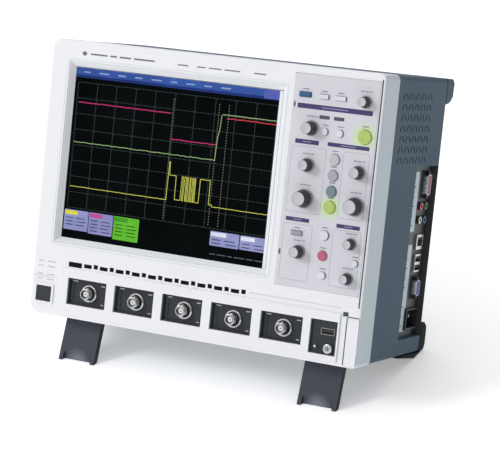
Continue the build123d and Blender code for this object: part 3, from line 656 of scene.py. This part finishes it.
def screen_bar(place):
    """The menu bar along the top, with dashes in place of words, and its brighter right end."""
    bar = (PICTURE_Z[1] - MENU_H, PICTURE_Z[1])
    bm = bmesh.new()
    dash(bm, PICTURE_X, bar, place, BAR_H, 0.3, 1)
    layer("screen_menu_bar", bm, "menu_blue", srgb(62, 92, 168), 0.95, 0.2, 30.0)
    bm = bmesh.new()
    dash(bm, PICTURE_X, (bar[0], bar[0] + 2.6), place, EDGE_H, 0.3, 1)
    layer("screen_menu_edge", bm, "menu_dark", srgb(40, 58, 122), 0.95, 0.2, 30.0)
    bm = bmesh.new()
    tab = (PICTURE_X[1] - 18.0, PICTURE_X[1] - 0.6)
    dash(bm, tab, (bar[0] + 0.8, bar[1] - 0.8), place, TAB_H, 0.5, 2)
    layer("screen_menu_tab", bm, "menu_violet", srgb(96, 104, 186), 0.95, 0.1, 10.0)
    bm = bmesh.new()
    words = (7.0, 10.5, 8.5, 8.0, 11.0, 6.5, 9.0, 8.0, 10.0)
    level = around(sum(bar) / 2 + 0.8, 1.3)
    dash_row(bm, PICTURE_X[0] + 9.0, words, 9.5, level, place, WORDS_H, 0.4)
    layer("screen_menu_words", bm, "menu_light", srgb(150, 170, 215), 0.9)


def screen_cursors(place):
    """Three dotted upright cursors."""
    bm = bmesh.new()
    for u in (4.94, 7.20, 7.68):
        for k in range(46):
            x, z = grid_point(u, 0.2 + k * 0.165)
            dash(bm, around(x, 0.55), around(z, 1.2), place, CURSOR_H, 0.1, 1)
    layer("screen_cursors", bm, "cursor_white", srgb(150, 152, 130), 0.8)


# Channel boxes under the grid: name, x from the picture's left, width, height, body, header
CHANNEL_BOXES = (
    ("one", 1.7, 26.3, 19.0, srgb(150, 155, 205), srgb(222, 212, 60)),
    ("two", 28.7, 25.9, 20.0, srgb(152, 152, 205), srgb(205, 80, 150)),
    ("three", 55.5, 27.0, 21.8, srgb(104, 196, 58), srgb(74, 150, 50)),
    ("timebase", 157.1, 29.7, 13.3, srgb(158, 162, 212), srgb(225, 228, 245)),
    ("trigger", 187.7, 26.8, 13.0, srgb(158, 162, 212), srgb(225, 228, 245)),
)
BOX_TOP = 27.0  # above the picture's lower edge
ROW_PITCH = 3.2


def channel_box(name, left, width, height, body, header, place):
    """A descriptor box with its header and rows of short dashes."""
    x = (PICTURE_X[0] + left, PICTURE_X[0] + left + width)
    z = (PICTURE_Z[0] + BOX_TOP - height, PICTURE_Z[0] + BOX_TOP)
    bm = bmesh.new()
    plate(bm, rounded(x, z, 0.8, 3), *BOX_H, place, 0.03)
    layer("screen_box_" + name, bm, "box_" + name, body, 0.9, 0.08, 8.0)
    bm = bmesh.new()
    dash(bm, (x[0] + 0.8, x[0] + 0.55 * width), (z[1] - 4.6, z[1] - 0.9), place, HEADER_H, 0.4)
    layer("screen_header_" + name, bm, "header_" + name, header, 1.0, 0.08, 8.0)
    bm = bmesh.new()
    for row in range(int((height - 6.5) / ROW_PITCH)):
        level = z[1] - 7.6 - ROW_PITCH * row
        for start, length in ((0.08, 0.30), (0.50 + 0.05 * (row % 2), 0.36)):
            span = (x[0] + start * width, x[0] + (start + length) * width)
            dash(bm, span, around(level, 0.9), place, ROWS_H, 0.25, 1)
    layer("screen_rows_" + name, bm, "rows_" + name, shade(body, 0.25), 0.8)


def screen_status(place):
    """Faint status dashes under the boxes, at the right."""
    bm = bmesh.new()
    level = around(PICTURE_Z[0] + 6.0, 1.0)
    dash_row(bm, PICTURE_X[1] - 57.0, (6, 9, 5, 11, 7, 8), 1.6, level, place, STATUS_H, 0.3, 1)
    layer("screen_status", bm, "status_grey", srgb(108, 110, 120), 0.7)


def screen_picture():
    """Everything that the display shows, as thin lit layers just in front of the panel."""
    place = front(DISPLAY_Y)
    bm = bmesh.new()
    dash(bm, (GLASS_LOW.x, GLASS_HIGH.x), (GLASS_LOW.z, GLASS_HIGH.z), place, FIELD_H, 0.5, 1)
    layer("screen_field", bm, "field_black", srgb(13, 17, 18), 0.8, 0.3, 60.0)
    screen_grid(place)
    screen_bar(place)
    screen_cursors(place)
    for name, colour, width, points in traces():
        bm = bmesh.new()
        line(bm, points, width, *TRACE_H, place)
        layer(name, bm, name + "_light", colour, 1.1)
    for box in CHANNEL_BOXES:
        channel_box(*box, place)
    screen_status(place)


# -------- print on the fascia and the bezel
FASCIA_LOW, FASCIA_HIGH = device_box("control_panel")
LIP_TOP, LIP_RIGHT = 0.5, 3.2  # widths of the frame's lip over the glass
BUTTONS = sorted(name for name in frame["nodes"] if name.startswith("button_"))
# Section bars: (left, right, middle height, thickness), from the fascia's lower left corner
SECTION_BARS = (
    (4.8, 77.2, 160.7, 4.4), (6.0, 29.1, 129.3, 4.0), (37.5, 77.6, 129.7, 3.5),
    (4.7, 27.6, 60.0, 3.5), (54.2, 76.7, 59.6, 3.5),
)


def section_bars(place):
    """Dark purple title bars, each with a dash of lighter print in place of its word."""
    bars, words = bmesh.new(), bmesh.new()
    for left, right, level, tall in SECTION_BARS:
        x = (FASCIA_LOW.x + left, FASCIA_LOW.x + right)
        z = FASCIA_LOW.z + level
        plate(bars, rounded(x, around(z, tall), 0.5, 3), 0.0, PRINT_T, place, 0.02)
        word = around(sum(x) / 2, 0.36 * (x[1] - x[0]))
        dash(words, word, around(z, 1.0), place, (PRINT_T, PRINT_T + 0.03))
    printed("section_bars", bars, "fascia_lavender", "bar_purple", srgb(50, 40, 98))
    printed("section_bar_words", words, "fascia_lavender", "bar_word_grey", srgb(128, 124, 162))


def legend_dashes(place):
    """Short dashes of print above each knob and button."""
    bm = bmesh.new()
    for name in KNOBS + BUTTONS:
        low, high = device_box(name)
        centre = (low.x + high.x) / 2
        if name.startswith("knob_"):
            marks, level = ((-4.2, 3.0), (-0.4, 3.6), (3.6, 3.0)), high.z + 3.6
        else:
            marks, level = ((0.0, min(high.x - low.x, 6.0)),), high.z + 1.9
        for offset, length in marks:
            dash(bm, around(centre + offset, length), around(level, 0.8), place)
    printed("legend_print", bm, "fascia_lavender", "legend_grey", srgb(120, 120, 136))


def section_lines(place):
    """Fine lines that frame the groups of controls."""
    bm = bmesh.new()
    left, right, bottom = FASCIA_LOW.x + 3.5, FASCIA_HIGH.x - 3.5, FASCIA_LOW.z
    upper, lower = (bottom + 66.5, bottom + 125.0), (bottom + 6.0, bottom + 56.0)
    groups = (((left, left + 33.5), upper), ((left + 50.5, right), upper),
              ((left, left + 28.0), lower), ((left + 48.5, right), lower))
    for x, z in groups:
        line(bm, rounded(x, z, 2.0), 0.35, 0.0, PRINT_T, place, closed=True)
    printed("section_lines", bm, "fascia_lavender", "line_grey", srgb(160, 158, 172))


def label_windows(place):
    """Two small dark label windows under the middle buttons, and two dark marks at the fascia's left edge."""
    bm = bmesh.new()
    outlines = [rounded(around(x, 10.0), around(216.5, 3.2), 0.6, 3) for x in (115.0, 129.0)]
    outlines += [oval(FASCIA_LOW.x + 1.9, z, 1.8, 5.5) for z in (225.5, 93.6)]
    for outline in outlines:
        plate(bm, outline, 0.0, 0.12, place, 0.04)
    printed("label_windows", bm, "window_black", "label_dark", srgb(74, 74, 88), 0.3)


def bezel_marks():
    """Plain dashes on the bezel where such a unit carries its printed names and values."""
    bm, place = bmesh.new(), front(0.0)
    level, x = 248.5, -128.0
    plate(bm, oval(x - 6.5, level, 5.0, 4.0), 0.0, PRINT_T, place)
    dash_row(bm, x, (18.0, 7.0, 12.0, 22.0), 3.0, around(level, 1.5), place, PRINT_H, 0.5)
    for x, length in ((-36.0, 11.0), (-16.0, 9.0), (-4.0, 13.0), (12.0, 16.0), (42.0, 12.0)):
        dash(bm, (x, x + length), around(level - 0.6, 1.1), place, radius=0.4)
    printed("bezel_print", bm, "bezel_white", "bezel_print_grey", srgb(98, 102, 112))
    bm = bmesh.new()
    for row in range(4):
        z = 33.5 + 4.6 * row + (3.0 if row > 1 else 0.0)
        for x, length in ((-163.5, 6.0), (-153.5, 8.5)):
            dash(bm, (x, x + length), around(z, 1.0), place, radius=0.4)
    printed("power_print", bm, "bezel_white", "power_print_grey", srgb(178, 184, 194))


def window_brackets():
    """A fine bracket under each pair of indicator windows."""
    low = device_box("indicator_windows")[0]
    bm, place = bmesh.new(), front(0.0)
    pairs, pitch, first, width = 10, 17.2, low.x + 16.6, 14.6
    foot, top = low.z - 1.7, low.z - 0.5
    for i in range(pairs):
        left, right = first + pitch * i, first + pitch * i + width
        line(bm, [(left, top), (left, foot), (right, foot), (right, top)], 0.55, 0.0, PRINT_T, place)
    printed("window_brackets", bm, "bezel_white", "bracket_grey", srgb(104, 108, 118))


def screen_outline():
    """The fine step that runs round the screen's frame on the bezel."""
    bm, place = bmesh.new(), front(0.0)
    x, z = (SCREEN_X[0] - 7.4, SCREEN_X[1] + 6.4), (SCREEN_Z[0] - 7.4, SCREEN_Z[1] + 7.1)
    line(bm, rounded(x, z, 2.5, 6), 0.7, -0.02, 0.10, place, closed=True)
    grey = moulded("outline_grey", srgb(206, 210, 218), 0.4)
    piece("screen_outline", bm, grey)


def frame_lip(surface):
    """The frame's flat lip over the glass, along its top and its right side."""
    bm, place = bmesh.new(), front(GLASS_LOW.y)
    top, right = SCREEN_Z[1] - LIP_TOP, SCREEN_X[1] - LIP_RIGHT
    strips = (((SCREEN_X[0] + 0.1, SCREEN_X[1] - 0.1), (top, SCREEN_Z[1] - 0.1)),
              ((right, SCREEN_X[1] - 0.1), (SCREEN_Z[0] + 0.1, top)))
    for x, z in strips:
        plate(bm, rounded(x, z, 0.2, 1), 0.0, 0.5, place, 0.15)
    piece("frame_lip", bm, surface)


# Painted shade in the seams, as dark strips: x and z on the front face, corner radius, bottom, top and chamfer
SEAM_SHADES = (
    ((166.05, 167.35), (54.05, 254.95), 0.3, -1.75, -0.7, 0.2),  # the long groove beside the fascia
    ((152.5, 157.5), (45.3, 49.1), 0.4, -1.55, -0.6, 0.2),  # the finger notch
    ((156.3, 157.3), (2.0, 44.6), 0.3, -0.05, 0.07, 0.02),  # the corner cover's left side
    ((157.5, 168.3), (44.8, 45.6), 0.3, -0.05, 0.07, 0.02),  # the corner cover's top
)


def seam_shade_strips():
    """Dark strips in the seams of the front: painted shade in the grooves and along the corner cover's edges."""
    bm, place = bmesh.new(), front(0.0)
    for x, z, radius, low, high, soften in SEAM_SHADES:
        plate(bm, rounded(x, z, radius, 2), low, high, place, soften)
    # painted shade: the dark grey strips stand in for the shade in the seams
    piece("seam_painted_shade", bm, moulded("seam_shade_grey", srgb(66, 72, 80), 0.7))


def prints(surfaces):
    seam_shade_strips()
    frame_lip(surfaces["frame_grey"])
    place = front(FASCIA_LOW.y)
    section_bars(place)
    legend_dashes(place)
    section_lines(place)
    label_windows(place)
    bezel_marks()
    window_brackets()
    screen_outline()


# -------- sockets
def jack_centres():
    """(x, z) of each input socket, from the record's mounts."""
    back = DEVICE.inverted()
    places = [back @ Vector(mount["pos_m"]) for mount in frame["record"]["mounts"]
              if mount["name"].startswith("probe_input")]
    return [(place.x, place.z) for place in places]


def input_details(gold, marks):
    """In each input: the gold contact sleeve in its insulator, and plain ticks on the plate."""
    contact_low, contact_high = device_box("bnc_contacts")
    tip, root = -contact_low.y + 0.5, -contact_high.y + 1.1
    sleeve = [(0.68, root), (0.68, tip - 0.15), (0.55, tip), (0.34, tip), (0.34, root)]
    floor = front(device_box("input_bays")[0].y + 2.0)
    sleeves, ticks = bmesh.new(), bmesh.new()
    for x, z in jack_centres():
        lathe(sleeves, sleeve, shifted(front(0.0), x, z), 20, closed=True)
        for right, up, length in ((-16.0, 10.0, 5.0), (14.0, 8.6, 4.0), (14.5, -9.0, 3.0)):
            dash(ticks, around(x + right, length), around(z + up, 0.9), floor)
    piece("input_contacts", sleeves, gold)
    piece("input_ticks", ticks, marks)


TONGUE_DEPTH, TONGUE_T = 11.0, 1.8
USB_LEVELS = (82.0, 90.0)  # heights of the two USB mouths in the side recess


def usb_tongue(bm, contacts, place, width):
    """The tongue inside a USB mouth and its four contacts."""
    plate(bm, rounded(around(0.0, width), around(0.0, TONGUE_T), 0.2, 2), -TONGUE_DEPTH, -0.6, place, 0.2)
    for i in range(4):
        spot = shifted(place, (i - 1.5) * width / 4.4, 0.0)
        reach = (1.0 - TONGUE_DEPTH, -1.2)
        dash(contacts, around(0.0, 1.0), around(0.0, TONGUE_T + 0.16), spot, reach, 0.1, 1)


def ports(gold, black):
    """What fills the USB mouths at the front and in the side recess."""
    tongues, contacts = bmesh.new(), bmesh.new()
    low, high = device_box("front_usb_port")
    middle = (low + high) / 2
    usb_tongue(tongues, contacts, shifted(front(low.y), middle.x, middle.z + 0.7), 11.0)
    low, high = device_box("io_sockets")
    for z in USB_LEVELS:
        usb_tongue(tongues, contacts, shifted(side(high.x), (low.y + high.y) / 2, z + 0.8), 10.8)
    piece("usb_tongues", tongues, black)
    piece("usb_contacts", contacts, gold)


IO_LOW, IO_HIGH = device_box("io_panel")
IO_Y = 134.0  # middle of the D-shaped connectors
SHELL_TOP = 5.0  # over the plate
CONTACT_PITCH = 2.1
D_SHELLS = (("parallel", 160.0, 18.0, srgb(150, 70, 100)), ("display", 63.0, 13.0, srgb(44, 70, 150)))
LABEL_EDGE, RECESS_BACK = 121.0, 149.5
LABEL_STRIPS = ((22.0, 104.0), (116.0, 172.0))
LABEL_T = 0.15
AUDIO = ((127.0, 140.0, "pink", srgb(214, 96, 120)), (127.0, 127.0, "white", srgb(226, 222, 208)),
         (138.0, 140.0, "green", srgb(70, 150, 90)), (138.0, 127.0, "blue", srgb(70, 120, 170)))


def d_connectors(metal, black):
    """A metal shell round each D-shaped connector, its coloured insert and the rows of contacts."""
    place = side(IO_HIGH.x)
    shells, holes = bmesh.new(), bmesh.new()
    for name, z, length, colour in D_SHELLS:
        outline = rounded(around(IO_Y, 8.5), around(z, length + 0.5), 1.8, 5)
        line(shells, outline, 0.45, 0.7, SHELL_TOP + 0.25, place, closed=True)
        insert, face = bmesh.new(), SHELL_TOP + 0.12
        dash(insert, around(IO_Y, 7.6), around(z, length - 0.4), place, (SHELL_TOP, face), 1.4, 4)
        piece("insert_" + name, insert, moulded("insert_" + name, colour, 0.4))
        count = int(length / 2.2)
        for row in (-1.4, 1.4):
            for i in range(count):
                level = z + (i - (count - 1) / 2) * CONTACT_PITCH + 0.3 * row
                plate(holes, oval(IO_Y + row, level, 1.0, 1.0, 10), face, face + 0.04, place)
    piece("connector_shells", shells, metal)
    piece("connector_contacts", holes, black)


def audio_rings():
    """A coloured ring on the mouth of each audio jack."""
    ring = [(1.85, 0.0), (1.85, 0.25), (2.3, 0.5), (3.2, 0.5), (3.55, 0.2), (3.55, 0.0)]
    for y, z, name, colour in AUDIO:
        bm = bmesh.new()
        lathe(bm, ring, shifted(side(IO_HIGH.x + 2.6), y, z), 32, closed=True)
        piece("audio_ring_" + name, bm, moulded("audio_" + name, colour, 0.35, depth=0.004))


def network_details(gold, marks):
    """Spring contacts in the network socket and its two small lamps."""
    low, high = device_box("io_sockets")
    place, middle, top = side(high.x), (low.y + high.y) / 2, high.z
    springs, lamps = bmesh.new(), bmesh.new()
    for i in range(8):
        spring = around(middle + (i - 3.5) * 1.1, 0.45)
        dash(springs, spring, (top - 4.2, top - 3.4), place, (-9.0, -1.5), 0.1, 1)
    for offset in (-6.6, 6.6):
        lamp = rounded(around(middle + offset, 2.0), (top - 2.1, top - 0.8), 0.2, 2)
        plate(lamps, lamp, 0.0, 0.2, place, 0.05)
    piece("network_springs", springs, gold)
    piece("network_lamps", lamps, marks)


def recess_labels(marks):
    """Pale strips of printed labels beside the connectors, with plain dashes on them."""
    place = side(IO_HIGH.x)
    strips, dashes = bmesh.new(), bmesh.new()
    for bottom, top in LABEL_STRIPS:
        plate(strips, rounded((IO_LOW.y + 2.0, LABEL_EDGE), (bottom, top), 1.2), 0.0, LABEL_T, place, 0.05)
        for i in range(int((top - bottom - 6) / 9)):
            level = bottom + 6.0 + 9.0 * i
            for start, length in ((18.5, 4.5), (11.5, 5.0 - 1.5 * (i % 2))):
                u = (LABEL_EDGE - start, LABEL_EDGE - start + length)
                dash(dashes, u, around(level, 1.0), place, (LABEL_T, LABEL_T + 0.04))
    printed("recess_labels", strips, "steel", "label_silver", srgb(198, 212, 218))
    piece("recess_label_print", dashes, marks)


def recess_lining():
    """A dark film on the recess's rear wall."""
    bm = bmesh.new()
    left, right, bottom, top = IO_HIGH.x + 0.3, IO_HIGH.x + 6.6, IO_LOW.z, IO_HIGH.z
    plate(bm, rounded((left, right), (bottom + 0.4, top - 0.4), 0.4, 2), 0.02, 0.2, front(RECESS_BACK), 0.1)
    piece("recess_lining", bm, moulded("lining_dark", srgb(58, 60, 58), 0.7, variation=0.2))


def inlet_blades(metal):
    """Bright sleeves over the mains inlet's blades."""
    low, high = device_box("mains_inlet")
    middle = (low + high) / 2
    place = shifted(side(IO_HIGH.x), middle.y, middle.z)
    root, tip = -15.9, -2.8
    bm = bmesh.new()
    for back, up in ((-7.0, 1.8), (0.0, -2.2), (7.0, 1.8)):
        plate(bm, rounded(around(back, 2.2), around(up, 4.2), 0.4, 2), root, tip, place, 0.5)
    piece("inlet_blades", bm, metal)


def sockets(surfaces):
    gold = plated("gold_plate", srgb(226, 186, 96), 0.25)
    marks = print_ink("pale_marks", srgb(176, 180, 188))
    dark_marks = print_ink("dark_marks", srgb(70, 76, 86))
    metal, black = surfaces["nickel"], surfaces["connector_black"]
    input_details(gold, marks)
    ports(gold, black)
    d_connectors(metal, black)
    audio_rings()
    network_details(gold, marks)
    recess_labels(dark_marks)
    recess_lining()
    inlet_blades(metal)


# -------- back and sides
VENT_ROWS, VENT_COLUMNS, VENT_PITCH, VENT_ROW_PITCH, VENT_LEAN = 7, 10, 7.3, 9.6, 32
VENT_FIRST = (46.5, 184.0)  # (y, z) of the first slot's centre
VENT_SLOT = (1.6, 6.5)  # width and length
COVER_SIDE_X = 169.4
# depth of the dark plates of painted shade in the vent slots
VENT_SHADE_H = (-1.2, -0.25)  # under the cover's surface
LABEL_X, LABEL_Z = (-62.0, -2.0), (62.0, 100.0)
REAR_LABEL_T = 0.25


def vent_shade_plates():
    """Dark plates that fill the slots of the side vents just under the surface: painted shade in the slots."""
    bm = bmesh.new()
    fill = rounded(around(0, VENT_SLOT[0]), around(0, VENT_SLOT[1]), 0.1, 1)
    for hand in (-1, 1):
        place = face_place(X * COVER_SIDE_X * hand, Y * hand, X * hand)
        for row in range(VENT_ROWS):
            for column in range(VENT_COLUMNS):
                lean = math.radians(VENT_LEAN if column % 2 else -VENT_LEAN) * hand
                u, v = (VENT_FIRST[0] + VENT_PITCH * column) * hand, VENT_FIRST[1] + VENT_ROW_PITCH * row
                plate(bm, fill, *VENT_SHADE_H, shifted(place, u, v) @ Matrix.Rotation(lean, 4, "Z"))
    # painted shade: a near-black plate stands in for the shade deep in each slot
    dark = moulded("vent_shade_dark", srgb(24, 29, 34), 0.8, specular_ior_level=0.1)
    piece("vent_shade_plates", bm, dark)


def rear_label():
    """A plain silver plate on the back with ruled lines and no words."""
    place = rear(device_box("rear_cover")[1].y)
    bm = bmesh.new()
    plate(bm, rounded(LABEL_X, LABEL_Z, 2.0), 0.0, REAR_LABEL_T, place, 0.1)
    printed("rear_label", bm, "steel", "rear_label_silver", srgb(186, 190, 194), 0.4)
    bm = bmesh.new()
    left, top = LABEL_X[0] + 4.0, LABEL_Z[1] - 6.0
    for i in range(5):
        rule = (left, left + 30.0 + 9.0 * (i % 3))
        dash(bm, rule, around(top - 6.6 * i, 1.0), place, (REAR_LABEL_T, REAR_LABEL_T + 0.04))
    printed("rear_label_lines", bm, "steel", "rear_line_grey", srgb(96, 100, 108))


# -------- studio
def area_light(name, place, size, power, colour=(1.0, 1.0, 1.0)):
    """A soft lamp aimed at the object."""
    lamp = bpy.data.lights.new(name, "AREA")
    lamp.size, lamp.energy, lamp.color = size, power, colour
    holder = bpy.data.objects.new(name, lamp)
    holder.location = place
    holder.rotation_mode = "QUATERNION"
    holder.rotation_quaternion = (AIM - Vector(place)).to_track_quat("-Z", "Y")
    bpy.context.scene.collection.objects.link(holder)


def surround(world):
    """White walls, which give more light from the left and above than from the right."""
    walls, background = Nodes(world.node_tree), world.node_tree.nodes["Background"]
    way = walls.add("ShaderNodeTexCoord").outputs["Generated"]
    way = walls.add("ShaderNodeSeparateXYZ", {0: way}).outputs
    sideways = walls.remap(way["X"], -1.0, 1.0, 0.85, 0.02)
    upward = walls.remap(way["Z"], 0.0, 1.0, 0.0, 0.35)
    seen = walls.add("ShaderNodeLightPath").outputs["Is Camera Ray"]
    inputs = {0: seen, 2: walls.maths("ADD", sideways, upward), 3: 0.95}
    walls.feed(background.inputs["Strength"], walls.add("ShaderNodeMix", inputs).outputs[0])
    walls.feed(background.inputs["Color"], (0.98, 0.99, 1.0, 1.0))


def studio():
    """A pale floor, a white surround, a key lamp at the front left, and a weak lamp overhead."""
    bpy.context.scene.view_settings.view_transform = "Standard"
    world = bpy.data.worlds.new("surround")
    world.use_nodes = True
    surround(world)
    bpy.context.scene.world = world
    area_light("key", (-2.6, -2.8, 2.6), 1.2, 71.0)
    area_light("overhead", (-0.4, 0.6, 2.6), 1.8, 12.0)
    bm = bmesh.new()
    bmesh.ops.create_grid(bm, x_segments=8, y_segments=8, size=6.0)
    mesh = bpy.data.meshes.new("floor")
    bm.to_mesh(mesh)
    bm.free()
    surface = Surface("floor_pale", emission_color=(1, 1, 1, 1), emission_strength=0.34)
    body, drift = mottled(surface, srgb(247, 247, 248), 0.006, 400.0)
    surface.colour(body)
    surface.roughness(surface.remap(drift, 0.0, 1.0, 0.6, 0.7))
    mesh.materials.append(surface.material)
    floor = bpy.data.objects.new("floor", mesh)
    bpy.context.scene.collection.objects.link(floor)


def save_sizes():
    """Brings the view layer up to date."""
    bpy.context.view_layer.update()


random.seed(7)
SURFACES = node_surfaces()
dress_nodes(SURFACES)
knobs(SURFACES)
screen_picture()
prints(SURFACES)
sockets(SURFACES)
vent_shade_plates()
rear_label()
studio()
save_sizes()
